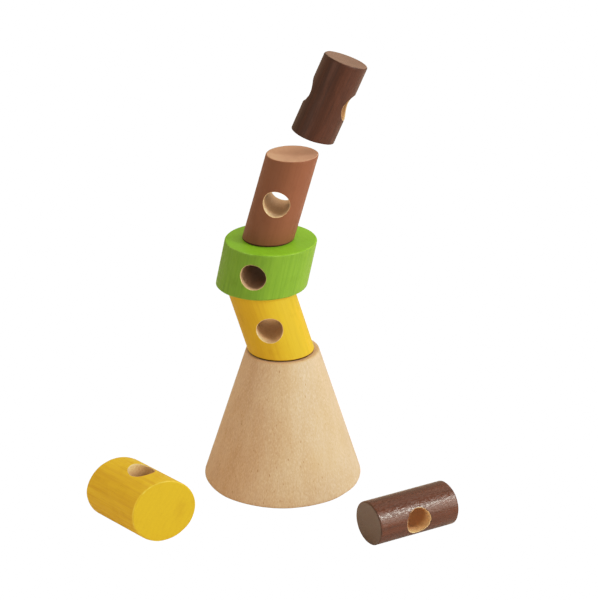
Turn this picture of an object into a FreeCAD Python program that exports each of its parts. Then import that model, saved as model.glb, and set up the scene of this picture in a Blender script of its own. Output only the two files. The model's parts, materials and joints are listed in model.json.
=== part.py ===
"""Small wooden balancing toy: a cone and slanted dowel blocks stacked on it.

Units are millimetres and degrees. The origin is the centre of the cone's foot on the table,
+Z is up, +X is to the viewer's right and -Y is towards the viewer.
Every block is a length of round dowel: its own Z axis is the dowel axis, its own origin is
halfway along it, and its cross hole runs along its own Y axis.
"""
import FreeCAD, Part
import Sketcher
import os
from FreeCAD import Vector

PARTS_FOLDER = "parts"

# Two levels or two radii closer than this are taken as the same.
SAME = 0.01

# Rough shapes drawn before the constraints pull them to size.
START_RADIUS = 5.0
START_MARGIN = 3.0
START_RISE = 2.0
START_WASTE = 20.0
START_CONE = [(0, 0), (40, 0), (18, 70), (0, 70)]

# Driving dimensions: alias, value, meaning.
DIMENSIONS = [
    ("cone_foot_width", 81.0, "cone diameter at the table, before its edge is rounded"),
    ("cone_top_width", 36.9, "diameter of the flat top of the cone"),
    ("cone_height", 70.0, "cone height"),
    ("cone_foot_rounding", 1.5, "rounding of the cone's foot edge"),
    ("cone_top_rounding", 0.6, "rounding of the cone's top edge"),
    ("hole_width", 13.0, "diameter of every cross hole"),
    ("hole_rounding", 0.3, "rounding of the cross hole mouths"),
    ("rim_rounding", 0.7, "rounding of the sawn rims of the blocks"),
    ("saw_margin", 3.0, "how far the dowel and the saw cuts run past the block"),
    ("lacquer_gap", 0.04, "gap left by the lacquer between two stacked faces"),
    # yellow blocks: one on the cone, one loose
    ("yellow_width", 32.0, "dowel diameter"),
    ("yellow_length", 35.2, "length along the dowel axis"),
    ("yellow_slant", 17.2, "angle between the saw cuts and a square cut"),
    ("yellow_heading", 178.5, "direction in which the stacked block leans"),
    ("yellow_foot_x", -0.6, "centre of its lower face"),
    ("yellow_foot_y", -0.7, "centre of its lower face"),
    # green block
    ("green_width", 45.0, "dowel diameter"),
    ("green_length", 25.0, "length along the dowel axis"),
    ("green_slant", 11.9, "angle between the saw cuts and a square cut"),
    ("green_heading", -16.5, "direction in which the stacked block leans"),
    ("green_foot_x", -10.4, "centre of its lower face"),
    ("green_foot_y", 4.4, "centre of its lower face"),
    # light brown block
    ("brown_width", 25.0, "dowel diameter"),
    ("brown_length", 46.6, "length along the dowel axis"),
    ("brown_slant", 15.3, "angle between the saw cuts and a square cut"),
    ("brown_heading", -9.1, "direction in which the stacked block leans"),
    ("brown_foot_x", -7.0, "centre of its lower face"),
    ("brown_foot_y", 3.7, "centre of its lower face"),
    # dark brown blocks: one held in the air, one loose
    ("dark_width", 22.0, "dowel diameter"),
    ("dark_slant", 3.7, "angle between the saw cuts and a square cut"),
    ("dark_length", 41.2, "length along the dowel axis, block in the air"),
    ("dark_x", 22.8, "centre of the block in the air"),
    ("dark_y", 4.3, "centre of the block in the air"),
    ("dark_z", 200.4, "centre of the block in the air"),
    ("dark_heading", 6.2, "direction in which its axis tips"),
    ("dark_tip", 23.3, "angle between its axis and the vertical"),
    ("dark_roll", 249.6, "turn about its own axis"),
    ("loose_dark_length", 44.3, "length along the dowel axis, loose block"),
    ("loose_dark_x", 61.1, "centre of the loose block"),
    ("loose_dark_y", -63.3, "centre of the loose block"),
    ("loose_dark_heading", 28.9, "direction of its axis on the table"),
    ("loose_dark_roll", 178.9, "turn about its own axis"),
    ("loose_yellow_x", -69.0, "centre of the loose block"),
    ("loose_yellow_y", -58.3, "centre of the loose block"),
    ("loose_yellow_heading", -45.9, "direction of its axis on the table"),
    ("loose_yellow_roll", 86.3, "turn about its own axis"),
]

document = FreeCAD.newDocument("tumbling_tower")


def build_sheet():
    """Write the driving dimensions into a spreadsheet, one alias per row."""
    sheet = document.addObject("Spreadsheet::Sheet", "dims")
    for row, (alias, value, meaning) in enumerate(DIMENSIONS, start=1):
        sheet.set("A%d" % row, alias)
        sheet.set("B%d" % row, str(value))
        sheet.set("C%d" % row, meaning)
        sheet.setAlias("B%d" % row, alias)
    document.recompute()
    return sheet


def new_body(name):
    body = document.addObject("PartDesign::Body", name)
    body.Label = name
    return body


def plane_of(body, role):
    for feature in body.Origin.OriginFeatures:
        if feature.Role == role:
            return feature
    raise ValueError("no origin feature " + role)


def new_sketch(body, name, role):
    """Sketch lying on one of the body's own origin planes."""
    sketch = body.newObject("Sketcher::SketchObject", name)
    sketch.AttachmentSupport = [(plane_of(body, role), "")]
    sketch.MapMode = "FlatFace"
    return sketch


def circle_sketch(body, name, role, diameter):
    """One circle about the body's origin, its diameter given as an expression."""
    sketch = new_sketch(body, name, role)
    sketch.addGeometry(Part.Circle(Vector(0, 0, 0), Vector(0, 0, 1), START_RADIUS), False)
    sketch.addConstraint(Sketcher.Constraint("Coincident", 0, 3, -1, 1))
    index = sketch.addConstraint(Sketcher.Constraint("Diameter", 0, 2 * START_RADIUS))
    sketch.setExpression("Constraints[%d]" % index, diameter)
    return sketch


def polygon(sketch, points):
    """Closed polygon with shared corners. Returns the index of its first line."""
    first = sketch.GeometryCount
    count = len(points)
    for index in range(count):
        start = Vector(points[index][0], points[index][1], 0)
        end = Vector(points[(index + 1) % count][0], points[(index + 1) % count][1], 0)
        sketch.addGeometry(Part.LineSegment(start, end), False)
    for index in range(count):
        after = first + (index + 1) % count
        sketch.addConstraint(Sketcher.Constraint("Coincident", first + index, 2, after, 1))
    return first


def drive(sketch, kind, line, end, value, expression, from_point=True):
    """Distance between a line's end and the origin, bound to an expression."""
    if from_point:
        constraint = Sketcher.Constraint(kind, line, end, -1, 1, value)
    else:
        constraint = Sketcher.Constraint(kind, -1, 1, line, end, value)
    index = sketch.addConstraint(constraint)
    sketch.setExpression("Constraints[%d]" % index, expression)


def saw_cut_sketch(body, name, role, width, length, slant, start_width, start_length):
    """The two waste areas beyond the parallel slanted ends, seen square to the lean."""
    sketch = new_sketch(body, name, role)
    side = start_width / 2 + START_MARGIN
    low = start_length / 2 - START_RISE
    high = start_length / 2 + START_RISE
    far = start_length / 2 + START_WASTE
    reach = "(%s / 2 + dims.saw_margin)" % width
    rise = "%s * tan(%s * 1 deg)" % (reach, slant)
    near_level = "%s / 2 - %s" % (length, rise)
    far_level = "%s / 2 + %s" % (length, rise)
    waste_level = "%s + 2 * dims.saw_margin" % far_level
    for upper in (True, False):
        sign = 1 if upper else -1
        corners = [(-side * sign, low * sign), (side * sign, high * sign),
                   (side * sign, far * sign), (-side * sign, far * sign)]
        first = polygon(sketch, corners)
        sketch.addConstraint(Sketcher.Constraint("Vertical", first + 1))
        sketch.addConstraint(Sketcher.Constraint("Horizontal", first + 2))
        sketch.addConstraint(Sketcher.Constraint("Vertical", first + 3))
        drive(sketch, "DistanceX", first, 1, side, reach, from_point=upper)
        drive(sketch, "DistanceX", first, 2, side, reach, from_point=not upper)
        drive(sketch, "DistanceY", first, 1, low, near_level, from_point=not upper)
        drive(sketch, "DistanceY", first, 2, high, far_level, from_point=not upper)
        drive(sketch, "DistanceY", first + 1, 2, far, waste_level, from_point=not upper)
    return sketch


def symmetric_pad(body, name, sketch, length):
    pad = body.newObject("PartDesign::Pad", name)
    pad.Profile = sketch
    pad.SideType = "Symmetric"
    pad.setExpression("Length", length)
    sketch.Visibility = False
    return pad


def symmetric_pocket(body, name, sketch, depth):
    pocket = body.newObject("PartDesign::Pocket", name)
    pocket.Profile = sketch
    pocket.SideType = "Symmetric"
    pocket.setExpression("Length", depth)
    sketch.Visibility = False
    return pocket


def fillet(body, name, base, edges, radius):
    feature = body.newObject("PartDesign::Fillet", name)
    feature.Base = (base, edges)
    feature.setExpression("Radius", radius)
    base.Visibility = False
    document.recompute()
    return feature


def edges_between(shape, first_kind, second_kind):
    """Names of the edges where a face of one kind meets a face of the other kind."""
    names = []
    for number, edge in enumerate(shape.Edges, start=1):
        faces = shape.ancestorsOfType(edge, Part.Face)
        kinds = sorted(face.Surface.TypeId for face in faces)
        if kinds == sorted([first_kind, second_kind]) and not edge.isSeam(faces[0]):
            names.append("Edge%d" % number)
    return names


def hole_mouths(shape, hole_radius):
    """Names of the edges where the cross hole breaks through the round side."""
    names = []
    for number, edge in enumerate(shape.Edges, start=1):
        faces = shape.ancestorsOfType(edge, Part.Face)
        radii = [face.Surface.Radius for face in faces if isinstance(face.Surface, Part.Cylinder)]
        if len(radii) < 2 or max(radii) - min(radii) < SAME:
            continue
        if abs(min(radii) - hole_radius) < SAME:
            names.append("Edge%d" % number)
    return names


def circles_at(shape, level):
    """Names of the circular edges lying at one level."""
    names = []
    for number, edge in enumerate(shape.Edges, start=1):
        off_level = abs(edge.BoundBox.ZMin - level) + abs(edge.BoundBox.ZMax - level)
        if isinstance(edge.Curve, Part.Circle) and off_level < SAME:
            names.append("Edge%d" % number)
    return names


def build_block(name, colour, length_alias, slant_plane, start_width, start_length):
    """Dowel length with two parallel slanted ends, a cross hole and rounded edges."""
    width = "dims.%s_width" % colour
    slant = "dims.%s_slant" % colour
    length = "dims.%s" % length_alias
    body = new_body(name)
    outline = circle_sketch(body, name + "_dowel_sketch", "XY_Plane", width)
    stock = "%s + 2 * (%s / 2 + dims.saw_margin) * tan(%s * 1 deg) + 2 * dims.saw_margin" % (
        length, width, slant)
    symmetric_pad(body, name + "_dowel", outline, stock)
    cuts = saw_cut_sketch(body, name + "_saw_sketch", slant_plane, width, length, slant,
                          start_width, start_length)
    symmetric_pocket(body, name + "_saw_cuts", cuts, "%s + 2 * dims.saw_margin" % width)
    bore = circle_sketch(body, name + "_hole_sketch", "XZ_Plane", "dims.hole_width")
    drilled = symmetric_pocket(body, name + "_cross_hole", bore,
                               "%s + 2 * dims.saw_margin" % width)
    document.recompute()
    rims = edges_between(drilled.Shape, "Part::GeomPlane", "Part::GeomCylinder")
    rounded = fillet(body, name + "_rims", drilled, rims, "dims.rim_rounding")
    hole_radius = float(document.dims.hole_width) / 2
    mouths = hole_mouths(rounded.Shape, hole_radius)
    fillet(body, name + "_mouths", rounded, mouths, "dims.hole_rounding")
    return body


def build_cone():
    """Turned cone: a profile in the XZ plane revolved about Z, with two rounded edges."""
    body = new_body("cone_base")
    sketch = new_sketch(body, "cone_profile", "XZ_Plane")
    first = polygon(sketch, START_CONE)
    sketch.addConstraint(Sketcher.Constraint("Coincident", first, 1, -1, 1))
    sketch.addConstraint(Sketcher.Constraint("Horizontal", first))
    sketch.addConstraint(Sketcher.Constraint("Horizontal", first + 2))
    sketch.addConstraint(Sketcher.Constraint("Vertical", first + 3))
    foot_start, top_start = START_CONE[1][0], START_CONE[2][0]
    height_start = START_CONE[2][1]
    drive(sketch, "DistanceX", first, 2, foot_start, "dims.cone_foot_width / 2", from_point=False)
    drive(sketch, "DistanceX", first + 1, 2, top_start, "dims.cone_top_width / 2",
          from_point=False)
    drive(sketch, "DistanceY", first + 1, 2, height_start, "dims.cone_height", from_point=False)
    turned = body.newObject("PartDesign::Revolution", "cone_turning")
    turned.Profile = sketch
    turned.ReferenceAxis = (sketch, ["V_Axis"])
    turned.Angle = 360.0
    sketch.Visibility = False
    document.recompute()
    foot = circles_at(turned.Shape, 0.0)
    footed = fillet(body, "cone_foot_edge", turned, foot, "dims.cone_foot_rounding")
    top = circles_at(footed.Shape, float(document.dims.cone_height))
    fillet(body, "cone_top_edge", footed, top, "dims.cone_top_rounding")
    return body


def place(body, centre, heading, tip, roll):
    """Centre and ZYZ turns of a block, all given as expressions."""
    turn = "create(<<rotation>>; create(<<vector>>; 0; %d; %d); %s)"
    rotation = " * ".join([turn % (0, 1, heading), turn % (1, 0, tip), turn % (0, 1, roll)])
    vector = "create(<<vector>>; %s; %s; %s)" % centre
    body.setExpression("Placement", "create(<<placement>>; %s; %s)" % (vector, rotation))


def place_stacked(body, colour, below):
    """Stand a block on the piece below, its slanted ends level, leaning along its heading."""
    half = "dims.%s_length / 2" % colour
    slant = "dims.%s_slant * 1 deg" % colour
    heading = "dims.%s_heading * 1 deg" % colour
    side = "%s * sin(%s)" % (half, slant)
    centre = ("dims.%s_foot_x + %s * cos(%s)" % (colour, side, heading),
              "dims.%s_foot_y + %s * sin(%s)" % (colour, side, heading),
              "%s + dims.lacquer_gap + %s * cos(%s)" % (below, half, slant))
    place(body, centre, "dims.%s_heading" % colour, "dims.%s_slant" % colour, "0")
    return "%s + dims.lacquer_gap + dims.%s_length * cos(%s)" % (below, colour, slant)


def check_and_write(bodies):
    """Refuse a broken document, then write one STEP file per body."""
    for item in document.Objects:
        if "Invalid" in item.State or "Error" in item.State:
            raise RuntimeError("%s is %s" % (item.Name, item.State))
    os.makedirs(PARTS_FOLDER, exist_ok=True)
    for body in bodies:
        shape = body.Shape
        if shape.isNull() or not shape.isValid():
            raise RuntimeError("%s has no valid shape" % body.Label)
        shape.exportStep(os.path.join(PARTS_FOLDER, body.Label + ".step"))
        box = shape.BoundBox
        print("%-24s volume %9.1f  x %.1f..%.1f  y %.1f..%.1f  z %.2f..%.2f" % (
            body.Label, shape.Volume, box.XMin, box.XMax, box.YMin, box.YMax, box.ZMin, box.ZMax))


build_sheet()
cone = build_cone()
yellow = build_block("yellow_block", "yellow", "yellow_length", "XZ_Plane", 32.0, 35.0)
green = build_block("green_block", "green", "green_length", "XZ_Plane", 45.0, 25.0)
brown = build_block("light_brown_block", "brown", "brown_length", "XZ_Plane", 25.0, 46.0)
dark = build_block("dark_brown_block", "dark", "dark_length", "YZ_Plane", 22.0, 41.0)
loose_yellow = build_block("loose_yellow_block", "yellow", "yellow_length", "XZ_Plane",
                           32.0, 35.0)
loose_dark = build_block("loose_dark_brown_block", "dark", "loose_dark_length", "YZ_Plane",
                         22.0, 44.0)

cone_top = "dims.cone_height"
yellow_top = place_stacked(yellow, "yellow", cone_top)
green_top = place_stacked(green, "green", yellow_top)
place_stacked(brown, "brown", green_top)
place(dark, ("dims.dark_x", "dims.dark_y", "dims.dark_z"),
      "dims.dark_heading", "dims.dark_tip", "dims.dark_roll")
place(loose_yellow, ("dims.loose_yellow_x", "dims.loose_yellow_y", "dims.yellow_width / 2"),
      "dims.loose_yellow_heading", "90", "dims.loose_yellow_roll")
place(loose_dark, ("dims.loose_dark_x", "dims.loose_dark_y", "dims.dark_width / 2"),
      "dims.loose_dark_heading", "90", "dims.loose_dark_roll")
document.recompute()

check_and_write([cone, yellow, green, brown, dark, loose_yellow, loose_dark])
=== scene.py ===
"""Looks of the wooden balancing tower: worn pieces, stained and bare wood, table, light."""

import json
import math

import bmesh
import bpy
import numpy as np
from mathutils import Matrix, Vector, noise
from mathutils.bvhtree import BVHTree


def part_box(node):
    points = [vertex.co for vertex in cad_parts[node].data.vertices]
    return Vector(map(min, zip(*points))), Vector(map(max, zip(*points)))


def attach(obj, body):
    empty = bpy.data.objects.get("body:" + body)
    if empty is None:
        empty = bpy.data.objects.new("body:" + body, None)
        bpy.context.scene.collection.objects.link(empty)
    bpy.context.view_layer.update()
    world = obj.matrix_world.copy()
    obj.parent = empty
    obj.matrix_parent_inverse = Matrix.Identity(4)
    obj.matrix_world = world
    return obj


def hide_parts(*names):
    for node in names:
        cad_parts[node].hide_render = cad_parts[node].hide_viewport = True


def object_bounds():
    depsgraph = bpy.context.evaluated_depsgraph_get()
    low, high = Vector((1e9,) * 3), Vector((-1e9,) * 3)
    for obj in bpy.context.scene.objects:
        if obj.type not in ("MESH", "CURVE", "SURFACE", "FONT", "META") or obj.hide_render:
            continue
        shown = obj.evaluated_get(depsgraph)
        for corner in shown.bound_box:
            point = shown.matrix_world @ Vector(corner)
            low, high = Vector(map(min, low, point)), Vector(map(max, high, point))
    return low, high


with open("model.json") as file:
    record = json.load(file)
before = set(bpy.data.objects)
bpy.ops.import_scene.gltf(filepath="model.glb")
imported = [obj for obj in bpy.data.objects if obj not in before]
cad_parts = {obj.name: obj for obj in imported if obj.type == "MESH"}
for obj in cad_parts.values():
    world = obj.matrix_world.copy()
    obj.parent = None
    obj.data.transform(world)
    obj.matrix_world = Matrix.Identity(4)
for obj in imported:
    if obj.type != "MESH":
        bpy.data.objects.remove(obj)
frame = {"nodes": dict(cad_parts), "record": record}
CAD_LOW, CAD_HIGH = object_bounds()
MM = 0.001


# ---------------------------------------------------------------- sizes, in millimetres

# Wear of the real pieces. It takes wood off the CAD solid nearly everywhere. Where a rounding is
# locally smaller than the solid's own, the rim stands up to 0.2 mm proud.
RIM_ROUNDING = 0.78
RIM_VARIATION = 0.28
MOUTH_ROUNDING = 0.26
MOUTH_VARIATION = 0.10
MOUTH_LIMITS = (0.12, 1.6)
CHIP_START = 0.30
FOOT_ROUNDING = 1.5
FOOT_VARIATION = 0.3
TOP_ROUNDING = 0.62
TOP_VARIATION = 0.2
FACE_WAVE = 0.035
SIDE_WAVE_SHARE = 0.6

# Sizes of the patches that the wear follows.
RIM_PATCH = 7.0
MOUTH_PATCH = 1.7
CHIP_PATCH = 2.1
FACE_PATCH = 9.0
CONE_RIM_PATCH = 11.0
CONE_FACE_PATCH = 14.0

# Seeds of the wear: the cone's rims and faces, and the step from block to block.
CONE_RIM_SEED = 3.3
CONE_FACE_SEED = 8.1
BLOCK_SEED_STEP = 1.37
BLOCK_SEED_START = 0.5

# Mesh rows next to an edge, as distances from the edge, and the spacing farther away.
EDGE_STEPS = [0.0, 0.10, 0.22, 0.36, 0.54, 0.78, 1.15, 1.8]
CONE_STEPS = [1.6 * step for step in EDGE_STEPS]
EDGE_SHARE = 0.42
MIDDLE_SPACING = 1.6
CONE_SPACING = 2.4
FACE_RINGS = 8
FEWEST_GAPS = 2
MOUTH_FEWEST_GAPS = 3
WELD = 1e-4

# Columns of the mesh: round a cone, over one hole mouth, and between the two mouths.
CONE_COLUMNS = 144
MOUTH_COLUMNS = 40
SIDE_COLUMNS = 20
# The fine mesh at a mouth reaches MOUTH_MARGIN past the hole, but no farther round the dowel than
# MOUTH_WIDEST_DEG.
MOUTH_MARGIN = 3.4
MOUTH_WIDEST_DEG = 62

# Camera: long lens, level horizon, looking down on the table.
CAMERA_PLACE = (7.5, -977.8, 518.2)
CAMERA_PITCH_DEG = 23.33
CAMERA_TURN_DEG = -0.047
CAMERA_LENS_MM = 128.2
SENSOR_MM = 36.0
CAMERA_FAR_M = 100.0


# ---------------------------------------------------------------- colours (linear) and finishes

# Painted contact shadow: dark colour laid on the lower rim of a piece that stands on another.
CONTACT_SHADE = (0.040, 0.018, 0.008)
DUSKY = (0.30, 0.165, 0.085)
SMOKY = (0.28, 0.155, 0.105)
AMBER = (0.36, 0.135, 0.045)
# Pale ring at a hole's mouth: bare wood, lightened further as painted light on the lip.
HOLE_RIM = (0.82, 0.620, 0.360)

# Blocks.
# mount, slot: the record's names for the cross hole and the stain.
# chips: size of the chips in the hole mouths (mm). stands: the piece stands on another one and
# gets a painted contact shadow along its lower rim.
# depth, ends: brightness of the stain along the sides and on the sawn ends; on some blocks the
# ends are raised as painted light on the top face.
# grain: contrast of the grain. knobs: height of the raised grain.
# rough, shine: roughness and reflection of the lacquer.
# wall: tint of the bare hole wall, set block by block; it also paints light and shade into the
# hole. drilled, deep, full_depth:
# how much painted shade darkens the hole inwards, to which colour, and from which depth on (mm) it
# stays so.
BLOCKS = {
    "yellow_block": dict(
        mount="yellow_cross_hole", slot="yellow_stain", chips=0.25, stands=True,
        depth=0.89, ends=1.0, grain=0.27, knobs=0.6, rough=0.46, shine=0.13,
        wall=(1.25, 1.25, 1.08), drilled=0.20, deep=DUSKY, full_depth=7.0),
    "green_block": dict(
        mount="green_cross_hole", slot="green_stain", chips=0.25, stands=False,
        depth=1.0, ends=1.01, grain=0.50, knobs=0.6, rough=0.46, shine=0.22,
        wall=(1.0, 1.0, 0.96), drilled=0.72, deep=SMOKY, full_depth=3.6),
    "light_brown_block": dict(
        mount="light_brown_cross_hole", slot="light_brown_stain", chips=0.25, stands=True,
        depth=0.88, ends=0.95, grain=0.20, knobs=0.5, rough=0.44, shine=0.24,
        wall=(1.12, 1.16, 1.12), drilled=0.20, deep=DUSKY, full_depth=7.0),
    "dark_brown_block": dict(
        mount="dark_brown_cross_hole", slot="dark_brown_stain", chips=0.4, stands=False,
        # ends raised: painted light on the top face
        depth=0.90, ends=1.38, grain=0.62, knobs=0.3, rough=0.38, shine=0.28,
        wall=(0.62, 0.48, 0.30), drilled=0.70, deep=DUSKY, full_depth=7.0),
    "loose_yellow_block": dict(
        mount="loose_yellow_cross_hole", slot="yellow_stain", chips=0.25, stands=False,
        depth=1.10, ends=1.05, grain=0.42, knobs=0.6, rough=0.46, shine=0.17,
        wall=(1.18, 1.16, 0.88), drilled=0.20, deep=DUSKY, full_depth=7.0),
    "loose_dark_brown_block": dict(
        mount="loose_dark_brown_cross_hole", slot="dark_brown_stain", chips=1.7, stands=False,
        depth=1.22, ends=0.84, grain=0.60, knobs=1.0, rough=0.15, shine=0.46,
        wall=(1.34, 1.32, 1.02), drilled=0.80, deep=AMBER, full_depth=7.0),
}

# Stains: main colour, darker streaks, pores, sawn ends, rubbed edges, and height of the grain.
STAINS = {
    "yellow_stain": dict(main=(0.780, 0.480, 0.028), streak=(0.560, 0.300, 0.018),
                         pore=(0.42, 0.200, 0.015), end=(0.640, 0.400, 0.018),
                         edge=(0.88, 0.620, 0.110), relief=0.8),
    "green_stain": dict(main=(0.205, 0.395, 0.034), streak=(0.125, 0.280, 0.022),
                        pore=(0.080, 0.180, 0.018), end=(0.248, 0.560, 0.026),
                        edge=(0.315, 0.600, 0.090), relief=0.8),
    # its end colour is far paler than the stain: painted light that lifts the top face out of the
    # hovering block's shade
    "light_brown_stain": dict(main=(0.264, 0.100, 0.053), streak=(0.195, 0.069, 0.036),
                              pore=(0.130, 0.050, 0.028), end=(0.720, 0.430, 0.310),
                              edge=(0.340, 0.165, 0.095), relief=0.5),
    "dark_brown_stain": dict(main=(0.094, 0.028, 0.015), streak=(0.038, 0.011, 0.0065),
                             pore=(0.018, 0.007, 0.005), end=(0.161, 0.092, 0.070),
                             edge=(0.045, 0.018, 0.012), relief=1.9),
}

# Bare wood: its ground, then the tints that patterns lay over it. Each tint has a colour, the
# span of the pattern over which it comes in or goes out, and its shares at both ends of the span.
BARE_GROUND = (0.63, 0.46, 0.345)
BARE_TINTS = dict(
    tan=((0.555, 0.38, 0.265), (0.33, 0.68), (0.0, 1.0)),
    streak=((0.52, 0.33, 0.19), (0.45, 0.75), (0.0, 0.30)),
    fibre=((0.84, 0.66, 0.46), (0.35, 0.65), (0.0, 0.34)),
    dark_dot=((0.46, 0.285, 0.165), (0.40, 0.62), (0.26, 0.0)),
    pale_dot=((0.80, 0.63, 0.46), (0.50, 0.72), (0.0, 0.30)),
    thread=((0.47, 0.300, 0.185), (0.50, 0.70), (0.0, 0.30)),
    hands=((0.62, 0.40, 0.21), (0.45, 0.75), (0.0, 0.22)))
# Colours laid over it where a mask says so, and their shares.
BARE_RING, BARE_RING_SHARE = (0.58, 0.37, 0.22), 0.22
BARE_PORE, BARE_PORE_SHARE = (0.30, 0.16, 0.07), 0.85
GRIME, GRIME_SHARE = (0.42, 0.25, 0.12), 0.35
TOP_RUB, TOP_SHARE = (0.55, 0.32, 0.16), 0.35
BARE_SHINE = 0.22

# Patterns in the stain: the span over which each comes in, where it has one, and its share at a
# grain of 1.
SIDE_STREAKS = ((0.42, 0.72), 1.0)
SIDE_BANDS = ((0.45, 0.7), 0.5)
SIDE_RINGS = 0.35
SIDE_FIBRES = ((0.45, 0.70), 0.7)
SIDE_PORES = 0.75
END_SPECKLE = ((0.42, 0.66), 0.45)
END_RINGS = 0.25
# Brightness of an end's speckle and rings against the end itself.
END_DARK = 0.6
# Marks of hands: tint, span and shares, as for bare wood.
HAND_TINT = ((0.66, 0.62, 0.60), (0.50, 0.75), (0.0, 0.30))

# Patterns that run with the grain: cycles per mm across it and along it, detail, roughness.
GRAIN = dict(bands=(0.16, 0.012, 2.0, 0.5), streaks=(0.75, 0.022, 3.0, 0.6),
             fibres=(2.6, 0.07, 3.0, 0.65), fine=(3.1, 0.42, 1.5, 0.5),
             bend=(0.05, 0.02, 2.0, 0.5), dots=(2.2, 0.20, 2.0, 0.65),
             threads=(1.3, 0.05, 2.0, 0.6), knobs=(1.5, 0.55, 1.5, 0.6))
# Patterns with no direction: cycles per mm, detail, roughness.
SPOTS = dict(marks=(0.035, 3.0, 0.55), worn=(0.3, 3.0, 0.6), speckle=(1.9, 3.0, 0.7),
             rub=(0.45, 3.0, 0.6), ragged=(0.9, 4.0, 0.65), hands=(0.11, 4.0, 0.6))
# Pores: the pattern's span, and how deep they are at both ends of it. Long ones lie in cells,
# stated per mm across and along the grain.
SHORT_PORES = (0.655, 0.73, 0.0, 0.7)
LONG_PORES = (0.10, 0.19, 0.75, 0.0)
PORE_CELLS = (0.66, 0.075)
# Growth rings: spacing in mm, place of the pith (mm across the grain) and its shift from piece to
# piece, taper along the grain, bend in rings, and how sharply a ring ends.
BARE_RINGS = 3.4
STAINED_RINGS = 2.9
PITH_PLACE = (31.0, 22.0)
PITH_SHIFT = 3
RING_TAPER = 0.06
RING_BEND = 5.0
RING_SHARPNESS = 2.2

# Seeds of the patterns: the cone's, then from block to block.
CONE_WOOD_SEED = 1.0
STAIN_SEED_START = 3.0
STAIN_SEED_STEP = 5.0
RING_SEED_STEP = 0.7

# Zones of a block: distances from its edges (mm) over which each zone fades.
END_FADE = (0.12, 0.34)
END_SIDE_FADE = (0.10, 0.40)
RIM_FADE = (0.38, 0.66)
# Painted contact shadow on the low rim: the span over which it fades, and its share.
LOW_RIM_FADE = (0.70, 1.25)
CONTACT_SHADE_SHARE = 0.95
HOLE_EDGE = 0.02
HOLE_EDGE_RAGGED = 0.40
HOLE_EDGE_FADE = 0.07
# Hole wall: a pale ring at the mouth, partly painted light, then painted shade deeper in.
HOLE_RIM_FADE = (0.35, 0.9)
HOLE_RIM_SHARE = 0.6
HOLE_DARK_START = 1.0

# Zones of the cone: grime up to this height (mm) from its foot, rubbing near its top.
GRIME_HEIGHT = 2.2
TOP_FADE = (1.2, 0.1)
# Patchy zones: the span of the pattern, then the shares at both ends of it.
RIM_RUBBED = (0.35, 0.6, 0.2, 0.9)
GRIME_PATCHES = (0.3, 0.7, 0.25, 0.75)

# Roughness: of bare wood over its fibres, then what fibres, hands, pores and raised grain add to
# the lacquer's own. The spans are those of the patterns.
FIBRE_SPAN = (0.3, 0.7)
HAND_SPAN = (0.4, 0.7)
KNOB_SPAN = (0.44, 0.56)
BARE_ROUGH = (0.50, 0.66)
FIBRE_ROUGH = (-0.05, 0.09)
HAND_ROUGH = (-0.03, 0.05)
PORE_ROUGH = 0.12
KNOB_ROUGH = (0.0, 0.25)

# Share of each pattern in the relief.
BARE_FIBRE_RELIEF = 0.5
FIBRE_RELIEF = 0.7
PORE_RELIEF = 0.9
END_RELIEF = 0.5
LATHE_RELIEF = 0.35
LATHE_LINES = (2.3, 2.0, 0.6)

# Bump of the wood: strength, and height in metres.
BARE_BUMP = (0.5, 0.00012)
STAINED_BUMP = (0.55, 0.00010)


# ---------------------------------------------------------------- table and light

# The table is evenly white to the camera. Its colour counts for the light it throws back up.
TABLE_COLOUR = (0.82, 0.80, 0.78)
TABLE_GLOW = 1.35
TABLE_ROUGH = 0.7
TABLE_HALF_M = 30.0
TABLE_GAP_M = 0.00002
BLACK = (0.0, 0.0, 0.0)
WHITE = (1.0, 1.0, 1.0)
ROOM_LIGHT = (0.615, 0.544, 0.402)
BACKDROP = (1.35, 1.35, 1.35)

# Soft boxes: name, direction from the tower, side in metres, power in watts, colour.
SOFT_BOXES = [
    ("right_low", (0.90, -0.30, 0.25), 0.90, 11.5, (1.00, 0.92, 0.82)),
    ("right_high", (0.71, -0.37, 0.60), 0.27, 7.8, (1.00, 0.97, 0.89)),
    ("front_right", (0.60, -0.75, 0.30), 0.90, 4.0, (1.00, 0.87, 0.66)),
    ("back_right", (0.60, 0.50, 0.62), 0.90, 6.6, (1.00, 0.80, 0.66)),
    ("back_left", (-0.60, 0.50, 0.62), 0.90, 3.6, (1.00, 0.62, 0.28)),
]
# Boxes that are only seen as soft reflections on the lacquer.
SHEEN_BOXES = [
    ("left_sheen", (-0.72, -0.69, 0.10), 1.10, 4.6, (1.00, 0.93, 0.84)),
    ("right_sheen", (0.71, -0.37, 0.60), 0.34, 5.5, (1.00, 0.97, 0.89)),
]
SOFT_BOX_DISTANCE_M = 1.6
TOWER_MIDDLE_M = (0.0, -0.02, 0.1)

# Film response: straight up to middle tones, then a soft shoulder.
COMBINED_CURVE = 3
FILM_RANGE = 2.0
FILM_CURVE = [(0.0, 0.0), (0.25, 0.25), (0.5, 0.505), (0.65, 0.62), (0.8, 0.715), (1.0, 0.81),
              (1.3, 1.0), (2.0, 1.0)]


# ---------------------------------------------------------------- frames of the blocks

# Cosines: normals above SAME_DIRECTION share one direction, those below ACROSS face sideways.
SAME_DIRECTION = 0.999
ACROSS = 0.06
# Faces this close (mm) to the hole belong to its mouth.
MOUTH_GAP = 0.6
# An axis points up. One that sinks less than this lies level and keeps its direction.
LEVEL = 1e-6


def mount_named(name):
    return next(m for m in frame["record"]["mounts"] if m["name"] == name)


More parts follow.
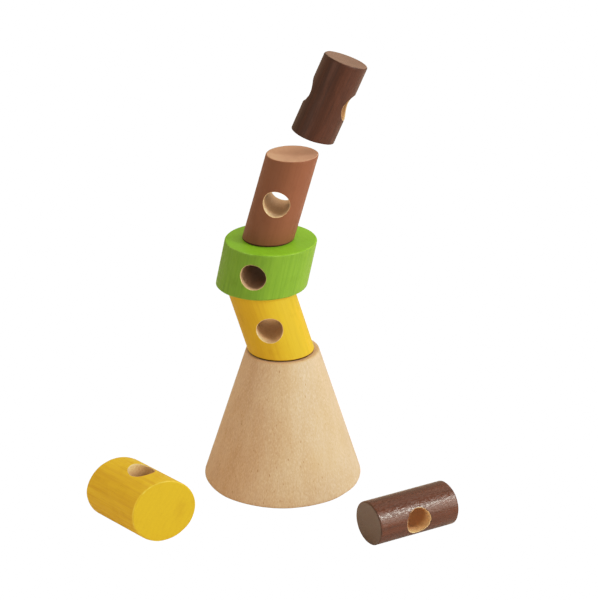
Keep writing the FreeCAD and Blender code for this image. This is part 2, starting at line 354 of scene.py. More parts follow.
def mesh_measures(mesh):
    """Corner places (mm), polygon normals and polygon areas of a mesh as arrays."""
    places = np.empty(len(mesh.vertices) * 3)
    mesh.vertices.foreach_get("co", places)
    normals = np.empty(len(mesh.polygons) * 3)
    mesh.polygons.foreach_get("normal", normals)
    areas = np.empty(len(mesh.polygons))
    mesh.polygons.foreach_get("area", areas)
    return places.reshape(-1, 3) / MM, normals.reshape(-1, 3), areas


def largest_face(normals, areas):
    """Direction of the flat faces that hold the largest area with one shared normal."""
    which = np.unique(np.round(normals, 2), axis=0, return_inverse=True)[1].reshape(-1)
    share = np.bincount(which, weights=areas)
    face = normals[which == int(np.argmax(share))].mean(0)
    return face / np.linalg.norm(face)


def least_faced(normals, areas):
    """Direction that polygons face least: the axis of a round side."""
    spread = (normals * areas[:, None]).T @ normals
    return np.linalg.eigh(spread)[1][:, 0]


def block_frame(node):
    """Axes, centre and sizes (mm) of a block, read from its hole mount and its CAD mesh."""
    mount = mount_named(BLOCKS[node]["mount"])
    hole = np.array(Vector(mount["axis"]).normalized())
    centre = np.array(mount["pos_m"]) / MM
    bore = mount["dims"]["r_mm"]
    mesh = frame["nodes"][node].data
    places, normals, areas = mesh_measures(mesh)
    face = largest_face(normals, areas)
    on_face = np.abs(normals @ face) > SAME_DIRECTION
    corner = np.array([p.vertices[0] for p in mesh.polygons])
    from_hole = np.linalg.norm(np.cross(places[corner] - centre, hole), axis=1)
    side = ~on_face & (from_hole > bore + MOUTH_GAP)
    # a first guess of the axis picks out the round side alone, which then gives the axis
    axis = least_faced(normals[side], areas[side])
    side &= np.abs(normals @ axis) < ACROSS
    axis = least_faced(normals[side], areas[side])
    axis = axis - hole * (axis @ hole)
    axis = axis / np.linalg.norm(axis) * (1 if axis[2] >= -LEVEL else -1)
    turn = np.column_stack([np.cross(hole, axis), hole, axis])
    radius = np.linalg.norm(((places - centre) @ turn)[:, :2], axis=1).max()
    reach = (places[corner[on_face]] - centre) @ face
    tilt = turn.T @ face
    return dict(turn=Matrix(turn.tolist()), centre=Vector(centre), radius=float(radius),
                hole=bore, half=float(np.median(np.abs(reach)) / abs(tilt[2])),
                slope=-tilt[:2] / tilt[2])


# ---------------------------------------------------------------- meshes

def middle_gaps(length, steps, spacing):
    """Number of gaps of about the given spacing that fit between the edge rows."""
    return max(FEWEST_GAPS, int(round((length - 2 * steps[-1]) / spacing)))


def edge_to_edge(length, steps, gaps):
    """Places from 0 to length: dense rows next to both ends and equal gaps between them."""
    shrink = min(1.0, EDGE_SHARE * length / steps[-1])
    low = [s * shrink for s in steps]
    high = [length - s * shrink for s in reversed(steps)]
    middle = np.linspace(low[-1], high[0], gaps + 1)[1:-1]
    return np.array(low + list(middle) + high)


def ring_scales(radius, steps):
    """Sizes, from 1 inwards, of the rings that fill a face of the given radius."""
    scales = [1 - s / radius for s in steps]
    return scales + list(np.linspace(scales[-1], 0, FACE_RINGS + 1)[1:-1])


def grid_faces(rows, columns, closed, offset):
    """Quads of a grid stored row by row."""
    faces = []
    for i in range(rows - 1):
        for j in range(columns if closed else columns - 1):
            k = (j + 1) % columns
            faces.append((offset + i * columns + j, offset + i * columns + k,
                          offset + (i + 1) * columns + k, offset + (i + 1) * columns + j))
    return faces


class Shell:
    """Collects grids of points, then welds them into one closed mesh."""

    def __init__(self):
        self.points = []
        self.faces = []
        self.count = 0

    def add(self, grid, closed=False):
        """Adds a grid of points; closed joins its last column to its first."""
        rows, columns = grid.shape[:2]
        self.faces += grid_faces(rows, columns, closed, self.count)
        self.points.append(grid.reshape(-1, 3))
        self.count += rows * columns

    def fill(self, rim, centre, scales):
        """Fills a rim with rings that shrink towards the centre, and a fan inside the last."""
        rings = np.array([centre + (rim - centre) * s for s in scales])
        self.add(rings, closed=True)
        self.points.append(np.vstack([rings[-1], centre[None]]))
        last = len(rim)
        for j in range(last):
            self.faces.append((self.count + j, self.count + (j + 1) % last, self.count + last))
        self.count += last + 1

    def mesh(self, name, wear):
        """The welded mesh, its points moved by the wear function, with outward normals."""
        points = np.vstack(self.points)
        key = np.round(points / WELD).astype(np.int64)
        _, first, back = np.unique(key, axis=0, return_index=True, return_inverse=True)
        back = back.reshape(-1)
        faces = []
        for face in self.faces:
            # a quad whose corners were welded together becomes a triangle or drops out
            corners = list(dict.fromkeys(int(back[corner]) for corner in face))
            if len(corners) > 2:
                faces.append(corners)
        mesh = bpy.data.meshes.new(name)
        mesh.from_pydata([tuple(p) for p in wear(points[first])], [], faces)
        mesh.validate()
        face_outwards(mesh)
        return mesh


def face_outwards(mesh):
    """Turns all normals outwards and shades the mesh smooth."""
    work = bmesh.new()
    work.from_mesh(mesh)
    bmesh.ops.recalc_face_normals(work, faces=work.faces)
    work.to_mesh(mesh)
    work.free()
    for polygon in mesh.polygons:
        polygon.use_smooth = True


def on_side(info, angle, level):
    """Place on a dowel's round side: angle 0 is +Y, level -1..1 runs between the sawn faces."""
    x, y = info["radius"] * np.sin(angle), info["radius"] * np.cos(angle)
    gx, gy = info["slope"]
    return np.stack([x, y, level * info["half"] + gx * x + gy * y], -1)


def mouth_border(mouth_angles, levels):
    """Angle and level of each point round the border of the fine mesh at a hole mouth."""
    patch = mouth_angles[-1]
    return np.array([(a, 1.0) for a in mouth_angles] + [(patch, s) for s in levels[::-1][1:]]
                    + [(a, -1.0) for a in mouth_angles[::-1][1:]]
                    + [(-patch, s) for s in levels[1:-1]])


def mouth_patch(info, border, mouth_x, mouth_z, sign):
    """Rings of points from the hole's edge out to the border, on the side sign * Y."""
    radius, half = info["radius"], info["half"]
    outer = on_side(info, border[:, 0], border[:, 1])
    far_x = outer[:, 0]
    gx, gy = info["slope"]
    far_z = border[:, 1] * half + gx * far_x + gy * sign * outer[:, 1]
    reach = np.hypot(far_x - mouth_x, far_z - mouth_z)
    gaps = max(MOUTH_FEWEST_GAPS, int(round((half - info["hole"]) / MIDDLE_SPACING)))
    shares = np.array([edge_to_edge(length, EDGE_STEPS, gaps) / length for length in reach]).T
    x = mouth_x + (far_x - mouth_x) * shares
    z = mouth_z + (far_z - mouth_z) * shares
    return np.stack([x, sign * np.sqrt(np.maximum(radius ** 2 - x ** 2, 0)), z], -1)


def hole_wall(info, mouth_x, mouth_z):
    """Grid of points along the hole, from mouth to mouth."""
    reach = np.sqrt(info["radius"] ** 2 - mouth_x ** 2)
    gaps = middle_gaps(2 * reach.min(), EDGE_STEPS, MIDDLE_SPACING)
    y = np.array([edge_to_edge(2 * r, EDGE_STEPS, gaps) - r for r in reach]).T
    return np.stack([np.broadcast_to(mouth_x, y.shape), y, np.broadcast_to(mouth_z, y.shape)], -1)


def block_shell(info):
    """Mesh of a sharp-edged slanted dowel with a cross hole, in block coordinates (mm)."""
    radius, hole, half = info["radius"], info["hole"], info["half"]
    gaps = middle_gaps(2 * half, EDGE_STEPS, MIDDLE_SPACING)
    levels = edge_to_edge(2 * half, EDGE_STEPS, gaps) / half - 1
    widest = math.sin(math.radians(MOUTH_WIDEST_DEG))
    patch = math.asin(min((hole + MOUTH_MARGIN) / radius, widest))
    mouth_angles = np.linspace(-patch, patch, MOUTH_COLUMNS + 1)
    gap_angles = np.linspace(patch, math.pi - patch, SIDE_COLUMNS + 1)
    shell = Shell()
    for angles in (gap_angles, gap_angles + math.pi):
        shell.add(on_side(info, *np.meshgrid(angles, levels)))
    border = mouth_border(mouth_angles, levels)
    turn = np.arctan2(border[:, 1], border[:, 0] / patch)
    mouth_x, mouth_z = hole * np.cos(turn), hole * np.sin(turn)
    for sign in (1, -1):
        shell.add(mouth_patch(info, border, mouth_x, mouth_z, sign), closed=True)
    shell.add(hole_wall(info, mouth_x, mouth_z), closed=True)
    around = np.concatenate([mouth_angles[:-1], gap_angles[:-1], mouth_angles[:-1] + math.pi,
                             gap_angles[:-1] + math.pi])
    for level in (1.0, -1.0):
        shell.fill(on_side(info, around, level), np.array([0, 0, level * half]),
                   ring_scales(radius, EDGE_STEPS))
    return shell


def cone_shell(foot, top, height):
    """Mesh of a sharp-edged cone that stands on the origin (mm)."""
    turns = np.linspace(0, 2 * math.pi, CONE_COLUMNS, endpoint=False)
    around = np.stack([np.cos(turns), np.sin(turns), np.zeros(CONE_COLUMNS)], -1)
    gaps = middle_gaps(height, CONE_STEPS, CONE_SPACING)
    levels = edge_to_edge(height, CONE_STEPS, gaps)
    widths = foot - (foot - top) / height * levels
    shell = Shell()
    shell.add(np.stack([around * w + (0, 0, z) for w, z in zip(widths, levels)]), closed=True)
    for width, level in ((foot, 0.0), (top, height)):
        centre = np.array([0, 0, level])
        shell.fill(around * width + centre, centre, ring_scales(width, CONE_STEPS))
    return shell


# ---------------------------------------------------------------- wear

SEED_SHIFT = (17.3, 5.1, 9.7)
WAVE_GAIN = 1.6
# Settling: rounds, step for the slope (mm), and least squared slope, against leaps at a cusp.
SETTLE_ROUNDS = 5
SETTLE_STEP = 1e-3
SETTLE_SLOPE = 0.25


def wave(points, size, seed):
    """Smooth noise, about -1..1, at each point; its features are about size mm across."""
    shift = Vector([seed * part for part in SEED_SHIFT])
    return np.array([noise.noise(Vector(p) / size + shift) for p in points]) * WAVE_GAIN


def sanding(points, size, seed):
    """How far (mm) sanding has lowered a face at each point."""
    return FACE_WAVE * (0.5 + 0.5 * np.clip(wave(points, size, seed), -1, 1))


def soft_and(first, second, rounding):
    """Signed distance to the overlap of two solids, its edge rounded."""
    a = np.maximum(first + rounding, 0)
    b = np.maximum(second + rounding, 0)
    return np.minimum(np.maximum(first, second), -rounding) + np.sqrt(a * a + b * b)


def settle(points, distance):
    """Moves points onto the zero surface of a distance function."""
    for _ in range(SETTLE_ROUNDS):
        here = distance(points)
        ahead = [distance(points + SETTLE_STEP * along) for along in np.eye(3)]
        slope = np.stack([there - here for there in ahead], 1) / SETTLE_STEP
        size = np.maximum((slope * slope).sum(1), SETTLE_SLOPE)
        points = points - (here / size)[:, None] * slope
    return points


def wear_block(points, info, seed, chips):
    """Moves the points of a sharp-edged block onto its worn surface."""
    radius, hole, half = info["radius"], info["hole"], info["half"]
    gx, gy = info["slope"]
    steep = math.sqrt(1 + gx * gx + gy * gy)
    rim = RIM_ROUNDING + RIM_VARIATION * wave(points, RIM_PATCH, seed)
    ragged = MOUTH_VARIATION * wave(points, MOUTH_PATCH, seed + 3)
    chip = chips * np.clip(wave(points, CHIP_PATCH, seed + 5) - CHIP_START, 0, 1)
    mouth = np.clip(MOUTH_ROUNDING + ragged + chip, *MOUTH_LIMITS)
    sanded = sanding(points, FACE_PATCH, seed + 7)

    def distance(places):
        x, y, z = places.T
        side = np.hypot(x, y) - radius + sanded * SIDE_WAVE_SHARE
        top = (z - half - gx * x - gy * y) / steep + sanded
        low = (-z - half + gx * x + gy * y) / steep + sanded
        bore = hole - np.hypot(x, z)
        return soft_and(soft_and(side, np.maximum(top, low), rim), bore, mouth)

    return settle(points, distance)


def wear_cone(points, foot, top, height):
    """Moves the points of a sharp-edged cone onto its worn surface."""
    taper = (foot - top) / height
    slant = math.sqrt(1 + taper * taper)
    uneven = wave(points, CONE_RIM_PATCH, CONE_RIM_SEED)
    sanded = sanding(points, CONE_FACE_PATCH, CONE_FACE_SEED)
    top_rounding = TOP_ROUNDING + TOP_VARIATION * uneven
    foot_rounding = FOOT_ROUNDING + FOOT_VARIATION * uneven

    def distance(places):
        x, y, z = places.T
        side = (np.hypot(x, y) - foot + taper * z) / slant + sanded
        return soft_and(soft_and(side, z - height + sanded, top_rounding), -z, foot_rounding)

    return settle(points, distance)


# ---------------------------------------------------------------- node trees

# Sockets of a colour mix node.
MIX_SHARE = 0
MIX_FIRST = 6
MIX_SECOND = 7
MIX_RESULT = 2


class Tree:
    """Helper for writing the nodes of a material or world: one shader and what feeds it."""

    def __init__(self, owner, shader, output):
        owner.use_nodes = True
        self.owner = owner
        self.tree = owner.node_tree
        self.tree.nodes.clear()
        self.surface = self.node(shader)
        self.tree.links.new(self.surface.outputs[0], self.node(output).inputs[0])

    def node(self, kind, **settings):
        made = self.tree.nodes.new(kind)
        for key, value in settings.items():
            setattr(made, key, value)
        return made

    def join(self, value, socket):
        """Feeds a socket from another socket, a colour or a number."""
        if hasattr(value, "links"):
            self.tree.links.new(value, socket)
        elif isinstance(value, tuple) and len(value) == 3 and len(socket.default_value) == 4:
            socket.default_value = (*value, 1.0)
        else:
            socket.default_value = value

    def finish(self, **values):
        """Feeds the shader's inputs; a name's underscores stand for spaces."""
        for name, value in values.items():
            self.join(value, self.surface.inputs[name.replace("_", " ")])
        return self.owner

    def math(self, operation, *values, clamp=False):
        made = self.node("ShaderNodeMath", operation=operation, use_clamp=clamp)
        for value, socket in zip(values, made.inputs):
            self.join(value, socket)
        return made.outputs[0]

    def vector(self, operation, *values):
        made = self.node("ShaderNodeVectorMath", operation=operation)
        for value, socket in zip(values, made.inputs):
            self.join(value, socket)
        return made.outputs["Value" if operation == "LENGTH" else "Vector"]

    def length(self, *sides):
        """Length of the diagonal of two sides at a right angle."""
        return self.math("SQRT", self.math("ADD", *[self.math("MULTIPLY", s, s) for s in sides]))

    def ramp(self, value, low, high, start=0.0, end=1.0):
        """Smooth step of value from low..high to start..end."""
        made = self.node("ShaderNodeMapRange", interpolation_type="SMOOTHSTEP", clamp=True)
        self.join(value, made.inputs["Value"])
        self.join(low, made.inputs["From Min"])
        self.join(high, made.inputs["From Max"])
        self.join(start, made.inputs["To Min"])
        self.join(end, made.inputs["To Max"])
        return made.outputs["Result"]

    def blend(self, share, first, second, mode="MIX"):
        made = self.node("ShaderNodeMix", data_type="RGBA", blend_type=mode)
        self.join(share, made.inputs[MIX_SHARE])
        self.join(first, made.inputs[MIX_FIRST])
        self.join(second, made.inputs[MIX_SECOND])
        return made.outputs[MIX_RESULT]

    def tint(self, tone, pattern, colour, span, shares, mode="MIX"):
        """Blends a colour in as a pattern crosses its span, from the first share to the second."""
        return self.blend(self.ramp(pattern, *span, *shares), tone, colour, mode)

    def noise(self, place, scale, detail, rough, seed):
        made = self.node("ShaderNodeTexNoise", noise_dimensions="4D")
        self.join(place, made.inputs["Vector"])
        made.inputs["W"].default_value = seed
        made.inputs["Scale"].default_value = scale
        made.inputs["Detail"].default_value = detail
        made.inputs["Roughness"].default_value = rough
        return made.outputs["Fac"]

    def stretched(self, place, across, along):
        """Grain coordinates: across in 1/mm over the grain, along in 1/mm along it."""
        return self.vector("MULTIPLY", place, (across, across, along))

    def grain(self, place, name, seed):
        """Pattern of GRAIN, 0..1."""
        across, along, detail, rough = GRAIN[name]
        return self.noise(self.stretched(place, across, along), 1.0, detail, rough, seed)

    def spots(self, place, name, seed):
        """Pattern of SPOTS, 0..1."""
        return self.noise(place, *SPOTS[name], seed)

    def millimetres(self, place):
        return self.vector("MULTIPLY", place, (1 / MM, 1 / MM, 1 / MM))

    def object_place(self):
        return self.node("ShaderNodeTexCoord").outputs["Object"]

    def block_place(self, info):
        """Object coordinates turned into a block's own frame, in millimetres."""
        mapping = self.node("ShaderNodeMapping", vector_type="TEXTURE")
        self.join(self.object_place(), mapping.inputs["Vector"])
        mapping.inputs["Location"].default_value = info["centre"] * MM
        mapping.inputs["Rotation"].default_value = info["turn"].to_euler("XYZ")
        return self.millimetres(mapping.outputs[0])

    def parts(self, place):
        """X, Y and Z of a place."""
        made = self.node("ShaderNodeSeparateXYZ")
        self.join(place, made.inputs[0])
        return made.outputs

    def bump(self, relief, strength, height):
        made = self.node("ShaderNodeBump")
        made.inputs["Strength"].default_value = strength
        made.inputs["Distance"].default_value = height
        self.join(relief, made.inputs["Height"])
        return made.outputs[0]


def material_tree(name):
    """Tree of a new material with one Principled surface."""
    return Tree(bpy.data.materials.new(name), "ShaderNodeBsdfPrincipled",
                "ShaderNodeOutputMaterial")


def scaled(colour, amount):
    return tuple(channel * amount for channel in colour)


# ---------------------------------------------------------------- wood

def wood_grain(t, place, seed):
    """Shared grain patterns, each 0..1: broad bands, streaks, fine fibres and pores."""
    bands = t.grain(place, "bands", seed)
    streaks = t.grain(place, "streaks", seed + 2)
    fibres = t.grain(place, "fibres", seed + 4)
    fine = t.grain(place, "fine", seed + 6)
    dashes = t.node("ShaderNodeTexVoronoi", voronoi_dimensions="4D")
    t.join(t.stretched(place, *PORE_CELLS), dashes.inputs["Vector"])
    dashes.inputs["W"].default_value = seed
    dashes.inputs["Scale"].default_value = 1.0
    long_pores = t.ramp(dashes.outputs["Distance"], *LONG_PORES)
    pores = t.math("MAXIMUM", t.ramp(fine, *SHORT_PORES), long_pores)
    return bands, streaks, fibres, pores


def growth_rings(t, place, seed, spacing):
    """Rings about a pith that lies well outside the piece, bent by slow noise."""
    bend = t.grain(place, "bend", seed + 9)
    shifted = t.vector("ADD", place, (PITH_PLACE[0] + PITH_SHIFT * seed, PITH_PLACE[1], 0.0))
    reach = t.vector("LENGTH", t.vector("MULTIPLY", shifted, (1.0, 1.0, RING_TAPER)))
    phase = t.math("ADD", t.math("DIVIDE", reach, spacing), t.math("MULTIPLY", bend, RING_BEND))
    return t.math("POWER", t.math("FRACT", phase), RING_SHARPNESS)


def bare_layer(t, place, seed):
    """Colour, roughness and relief of bare sanded wood."""
    bands, streaks, fibres, pores = wood_grain(t, place, seed)
    rings = growth_rings(t, place, seed, BARE_RINGS)
    dots = t.grain(place, "dots", seed + 8)
    threads = t.grain(place, "threads", seed + 10)
    tone = t.tint(BARE_GROUND, bands, *BARE_TINTS["tan"])
    tone = t.blend(t.math("MULTIPLY", rings, BARE_RING_SHARE), tone, BARE_RING)
    for pattern, tint in ((streaks, "streak"), (fibres, "fibre"), (dots, "dark_dot"),
                          (dots, "pale_dot"), (threads, "thread")):
        tone = t.tint(tone, pattern, *BARE_TINTS[tint])
    tone = t.blend(t.math("MULTIPLY", pores, BARE_PORE_SHARE), tone, BARE_PORE)
    rough = t.ramp(fibres, *FIBRE_SPAN, *BARE_ROUGH)
    relief = t.math("SUBTRACT", t.math("MULTIPLY", fibres, BARE_FIBRE_RELIEF), pores)
    return tone, rough, relief


def bare_wood(name, height):
    """Bare turned wood of the cone, its grain running up the cone."""
    t = material_tree(name + "_bare_wood")
    place = t.millimetres(t.object_place())
    level = t.parts(place)["Z"]
    tone, rough, relief = bare_layer(t, place, CONE_WOOD_SEED)
    # handling marks: slightly darker patches
    tone = t.tint(tone, t.spots(place, "marks", CONE_WOOD_SEED + 11), *BARE_TINTS["hands"])
    # turning lines round the cone
    upright = t.vector("MULTIPLY", place, (0.0, 0.0, 1.0))
    lines = t.noise(upright, *LATHE_LINES, CONE_WOOD_SEED + 4)
    relief = t.math("ADD", relief, t.math("MULTIPLY", lines, LATHE_RELIEF))
    # grime on the foot, rubbing on the top edge
    worn = t.ramp(t.spots(place, "worn", CONE_WOOD_SEED + 6), *GRIME_PATCHES)
    grime = t.math("MULTIPLY", t.ramp(level, 0.0, GRIME_HEIGHT, 1.0, 0.0), worn)
    tone = t.blend(t.math("MULTIPLY", grime, GRIME_SHARE), tone, GRIME)
    near_top = t.ramp(level, *(height - gap for gap in TOP_FADE))
    tone = t.blend(t.math("MULTIPLY", near_top, TOP_SHARE), tone, TOP_RUB)
    return t.finish(Base_Color=tone, Roughness=rough, Specular_IOR_Level=BARE_SHINE,
                    Normal=t.bump(relief, *BARE_BUMP))


def block_zones(t, place, info, seed):
    """Zones, each 0..1: sawn end, worn rim, painted contact shadow on the low rim, and hole. Then
    the depth in the hole (mm).
    """
    x, y, z = t.parts(place)
    side_gap = t.math("SUBTRACT", info["radius"], t.length(x, y))
    gx, gy = (float(slope) for slope in info["slope"])
    lift = t.math("ADD", t.math("MULTIPLY", x, gx), t.math("MULTIPLY", y, gy))
    end_gap = t.math("SUBTRACT", info["half"], t.math("ABSOLUTE", t.math("SUBTRACT", z, lift)))
    end = t.math("MULTIPLY", t.ramp(end_gap, *END_FADE, 1.0, 0.0),
                 t.ramp(side_gap, *END_SIDE_FADE))
    # a rim is where both gaps are small
    both = t.math("ADD", side_gap, end_gap)
    rubbed = t.ramp(t.spots(place, "rub", seed + 13), *RIM_RUBBED)
    rim = t.math("MULTIPLY", t.ramp(both, *RIM_FADE, 1.0, 0.0), rubbed)
    # painted contact shadow along the lower rim, below the block's middle
    low_rim_shade = t.math("MULTIPLY", t.ramp(both, *LOW_RIM_FADE, CONTACT_SHADE_SHARE, 0.0),
                     t.math("LESS_THAN", z, 0.0))
    ragged = t.math("MULTIPLY", t.spots(place, "ragged", seed + 17), HOLE_EDGE_RAGGED)
    edge = t.math("ADD", info["hole"] + HOLE_EDGE, ragged)
    outside = t.math("SUBTRACT", t.length(x, z), edge)
    hole = t.ramp(outside, -HOLE_EDGE_FADE, HOLE_EDGE_FADE, 1.0, 0.0)
    wall = t.math("SUBTRACT", info["radius"] ** 2, t.math("MULTIPLY", x, x))
    wall = t.math("SQRT", t.math("MAXIMUM", wall, 0.0))
    depth = t.math("SUBTRACT", wall, t.math("ABSOLUTE", y))
    return end, rim, low_rim_shade, hole, depth


def stained_side(t, stain, strength, grain, rings):
    """Colour of the stain along the grain."""
    bands, streaks, fibres, pores = grain

    def darken(tone, pattern, span, share):
        return t.tint(tone, pattern, stain["streak"], span, (0.0, share * strength))

    tone = darken(stain["main"], streaks, *SIDE_STREAKS)
    tone = darken(tone, bands, *SIDE_BANDS)
    tone = t.blend(t.math("MULTIPLY", rings, SIDE_RINGS * strength), tone, stain["streak"])
    tone = darken(tone, fibres, *SIDE_FIBRES)
    return t.blend(t.math("MULTIPLY", pores, SIDE_PORES * strength), tone, stain["pore"])


def stained_end(t, stain, strength, speckle, rings):
    """Colour of the stain on a sawn end: speckle instead of streaks."""
    dark = scaled(stain["end"], END_DARK)
    span, share = END_SPECKLE
    tone = t.tint(stain["end"], speckle, dark, span, (0.0, share * strength))
    return t.blend(t.math("MULTIPLY", rings, END_RINGS * strength), tone, dark)


def painted_hole_wall(t, tone, block, depth):
    """Colour of the bare hole wall: a pale ring at its mouth, partly painted light, and painted
    shade that darkens it inwards.
    """
    # the wall tint also paints the hole lighter or darker, block by block
    tone = t.blend(1.0, tone, block["wall"], mode="MULTIPLY")
    # painted shade deeper in the hole
    tone = t.tint(tone, depth, block["deep"], (HOLE_DARK_START, block["full_depth"]),
                  (0.0, block["drilled"]))
    # pale ring at the mouth: bare wood, partly painted light
    return t.tint(tone, depth, HOLE_RIM, HOLE_RIM_FADE, (HOLE_RIM_SHARE, 0.0))


def stained_wood(name, info, number):
    """Stained dowel: streaks along the grain, end grain, worn rims and a bare cross hole."""
    block = BLOCKS[name]
    stain = dict(STAINS[block["slot"]])
    for part, amount in (("main", "depth"), ("streak", "depth"), ("end", "ends")):
        stain[part] = scaled(stain[part], block[amount])
    t = material_tree(name + "_stained_wood")
    seed = STAIN_SEED_START + STAIN_SEED_STEP * number
    place = t.block_place(info)
    end, rim, low_rim_shade, hole, depth = block_zones(t, place, info, seed)
    grain = wood_grain(t, place, seed)
    rings = growth_rings(t, place, number * RING_SEED_STEP, STAINED_RINGS)
    speckle = t.spots(place, "speckle", seed + 11)
    hands = t.spots(place, "hands", seed + 19)
    knobs = t.grain(place, "knobs", seed + 23)
    bare, bare_rough, bare_relief = bare_layer(t, place, seed + 1.5)
    _, _, fibres, pores = grain

    tone = stained_side(t, stain, block["grain"], grain, rings)
    tone = t.blend(end, tone, stained_end(t, stain, block["grain"], speckle, rings))
    tone = t.blend(rim, tone, stain["edge"])
    # painted contact shadow where the piece stands on another
    if block["stands"]:
        tone = t.blend(low_rim_shade, tone, CONTACT_SHADE)
    tone = t.blend(hole, tone, painted_hole_wall(t, bare, block, depth))
    tone = t.tint(tone, hands, *HAND_TINT, mode="MULTIPLY")

    # raised grain under the lacquer breaks up reflections on the round side
    plain = t.math("SUBTRACT", 1.0, t.math("MAXIMUM", end, hole), clamp=True)
    raised = t.math("MULTIPLY", plain, block["knobs"])
    rough = t.ramp(fibres, *FIBRE_SPAN, *(block["rough"] + change for change in FIBRE_ROUGH))
    rough = t.math("ADD", rough, t.ramp(hands, *HAND_SPAN, *HAND_ROUGH))
    rough = t.math("ADD", rough, t.math("MULTIPLY", pores, PORE_ROUGH))
    rough = t.blend(hole, rough, bare_rough)
    if block["stands"]:
        rough = t.math("MAXIMUM", rough, low_rim_shade)
    dull = t.math("MULTIPLY", t.ramp(knobs, *KNOB_SPAN, *KNOB_ROUGH), raised)
    rough = t.math("ADD", rough, dull)

    relief = t.math("SUBTRACT", t.math("MULTIPLY", fibres, FIBRE_RELIEF),
                    t.math("MULTIPLY", pores, PORE_RELIEF))
    sawn = t.math("MULTIPLY", t.math("MULTIPLY", speckle, end), END_RELIEF)
    relief = t.math("ADD", relief, sawn)
    relief = t.math("ADD", relief, t.math("MULTIPLY", knobs, raised))
    relief = t.math("MULTIPLY", relief, stain["relief"])
    relief = t.blend(hole, relief, bare_relief)
    return t.finish(Base_Color=tone, Roughness=rough, Specular_IOR_Level=block["shine"],
                    Normal=t.bump(relief, *STAINED_BUMP))


# ---------------------------------------------------------------- pieces

def show(mesh, node, place, material):
    """Puts the finished piece in the scene in place of its CAD node."""
    mesh.transform(place @ Matrix.Scale(MM, 4))
    mesh.materials.append(material)
    piece = bpy.data.objects.new(mesh.name, mesh)
    bpy.context.scene.collection.objects.link(piece)
    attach(piece, node)
    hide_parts(node)


def make_block(node, number):
    info = block_frame(node)
    seed = number * BLOCK_SEED_STEP + BLOCK_SEED_START
    mesh = block_shell(info).mesh(
        node + "_wood", lambda points: wear_block(points, info, seed, BLOCKS[node]["chips"]))
    place = Matrix.Translation(info["centre"] * MM) @ info["turn"].to_4x4()
    show(mesh, node, place, stained_wood(node, info, number))


def cone_sizes(node):
    """Foot radius, top radius and height (mm) of the cone, read from its CAD mesh."""
    mesh = frame["nodes"][node].data
    low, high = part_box(node)
    tree = BVHTree.FromPolygons([v.co for v in mesh.vertices],
                                [p.vertices for p in mesh.polygons])
    height = (high.z - low.z) / MM
    probes = (0.2, 0.8)
    radii = []
    for share in probes:
        level = low.z + share * (high.z - low.z)
        hit = tree.ray_cast(Vector((1.0, 0.0, level)), Vector((-1.0, 0.0, 0.0)))[0]
        radii.append(hit.x / MM)
    taper = (radii[0] - radii[1]) / ((probes[1] - probes[0]) * height)
    foot = radii[0] + probes[0] * height * taper
    return foot, foot - taper * height, height


def make_cone(node):
    """Turned cone with a worn foot and top edge."""
    sizes = cone_sizes(node)
    mesh = cone_shell(*sizes).mesh(node + "_wood", lambda points: wear_cone(points, *sizes))
    place = Matrix.Translation((0, 0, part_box(node)[0].z))
    show(mesh, node, place, bare_wood(node, sizes[2]))


make_cone("cone_base")
for number, node in enumerate(BLOCKS):
    make_block(node, number)


# ---------------------------------------------------------------- table, light, camera

def table_material():
    """Pale matt table: evenly white to the camera, throwing part of the light back up."""
    t = material_tree("table_white")
    seen = t.node("ShaderNodeLightPath").outputs["Is Camera Ray"]
    return t.finish(Base_Color=t.blend(seen, TABLE_COLOUR, BLACK), Roughness=TABLE_ROUGH,
                    Specular_IOR_Level=0.0, Emission_Color=WHITE,
                    Emission_Strength=t.math("MULTIPLY", seen, TABLE_GLOW))


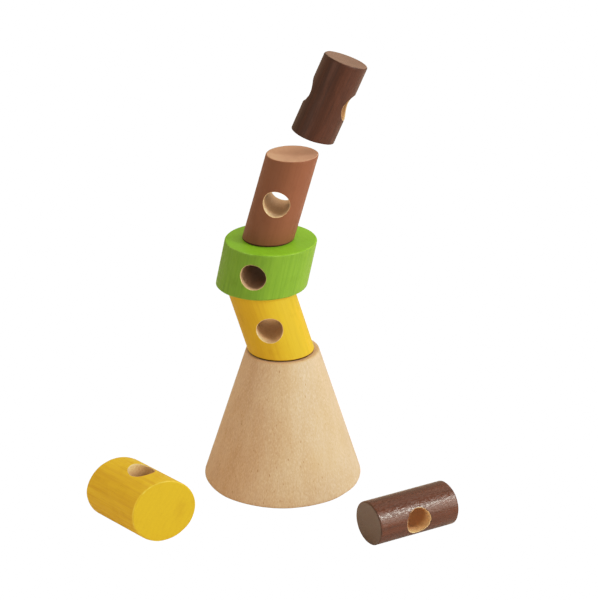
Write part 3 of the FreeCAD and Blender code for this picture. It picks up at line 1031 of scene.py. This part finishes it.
def table():
    """Large pale floor, just under the lowest point of the pieces."""
    half = TABLE_HALF_M
    level = CAD_LOW.z - TABLE_GAP_M
    mesh = bpy.data.meshes.new("table")
    mesh.from_pydata([(-half, -half, level), (half, -half, level), (half, half, level),
                      (-half, half, level)], [], [(0, 1, 2, 3)])
    mesh.materials.append(table_material())
    floor = bpy.data.objects.new("table", mesh)
    bpy.context.scene.collection.objects.link(floor)


def room():
    """Warm light from the room, in front of a white backdrop."""
    t = Tree(bpy.data.worlds.new("studio"), "ShaderNodeBackground", "ShaderNodeOutputWorld")
    seen = t.node("ShaderNodeLightPath").outputs["Is Camera Ray"]
    bpy.context.scene.world = t.finish(Color=t.blend(seen, ROOM_LIGHT, BACKDROP))


def soft_box(name, direction, side, power, colour, lights_pieces):
    """Square lamp that faces the tower; it may be left to show in reflections only."""
    light = bpy.data.lights.new(name, "AREA")
    light.size = side
    light.energy = power
    light.color = colour
    lamp = bpy.data.objects.new(name, light)
    away = Vector(direction).normalized()
    lamp.location = Vector(TOWER_MIDDLE_M) + away * SOFT_BOX_DISTANCE_M
    lamp.rotation_euler = (-away).to_track_quat("-Z", "Y").to_euler()
    lamp.visible_diffuse = lights_pieces
    bpy.context.scene.collection.objects.link(lamp)


def camera():
    lens = bpy.data.cameras.new("camera")
    lens.sensor_width = SENSOR_MM
    lens.lens = CAMERA_LENS_MM
    lens.clip_end = CAMERA_FAR_M
    holder = bpy.data.objects.new("camera", lens)
    holder.location = Vector(CAMERA_PLACE) * MM
    holder.rotation_euler = (math.radians(90 - CAMERA_PITCH_DEG), 0.0,
                             math.radians(CAMERA_TURN_DEG))
    bpy.context.scene.collection.objects.link(holder)
    bpy.context.scene.camera = holder


def film_response():
    """Standard display colours with the soft shoulder of FILM_CURVE."""
    settings = bpy.context.scene.view_settings
    settings.view_transform = "Standard"
    settings.use_curve_mapping = True
    mapping = settings.curve_mapping
    mapping.use_clip = True
    mapping.clip_max_x = FILM_RANGE
    points = mapping.curves[COMBINED_CURVE].points
    points[0].location = FILM_CURVE[0]
    points[1].location = FILM_CURVE[-1]
    for place in FILM_CURVE[1:-1]:
        points.new(*place)
    for point in points:
        point.handle_type = "AUTO_CLAMPED"
    mapping.update()


table()
room()
for box in SOFT_BOXES:
    soft_box(*box, lights_pieces=True)
for box in SHEEN_BOXES:
    soft_box(*box, lights_pieces=False)
camera()
film_response()
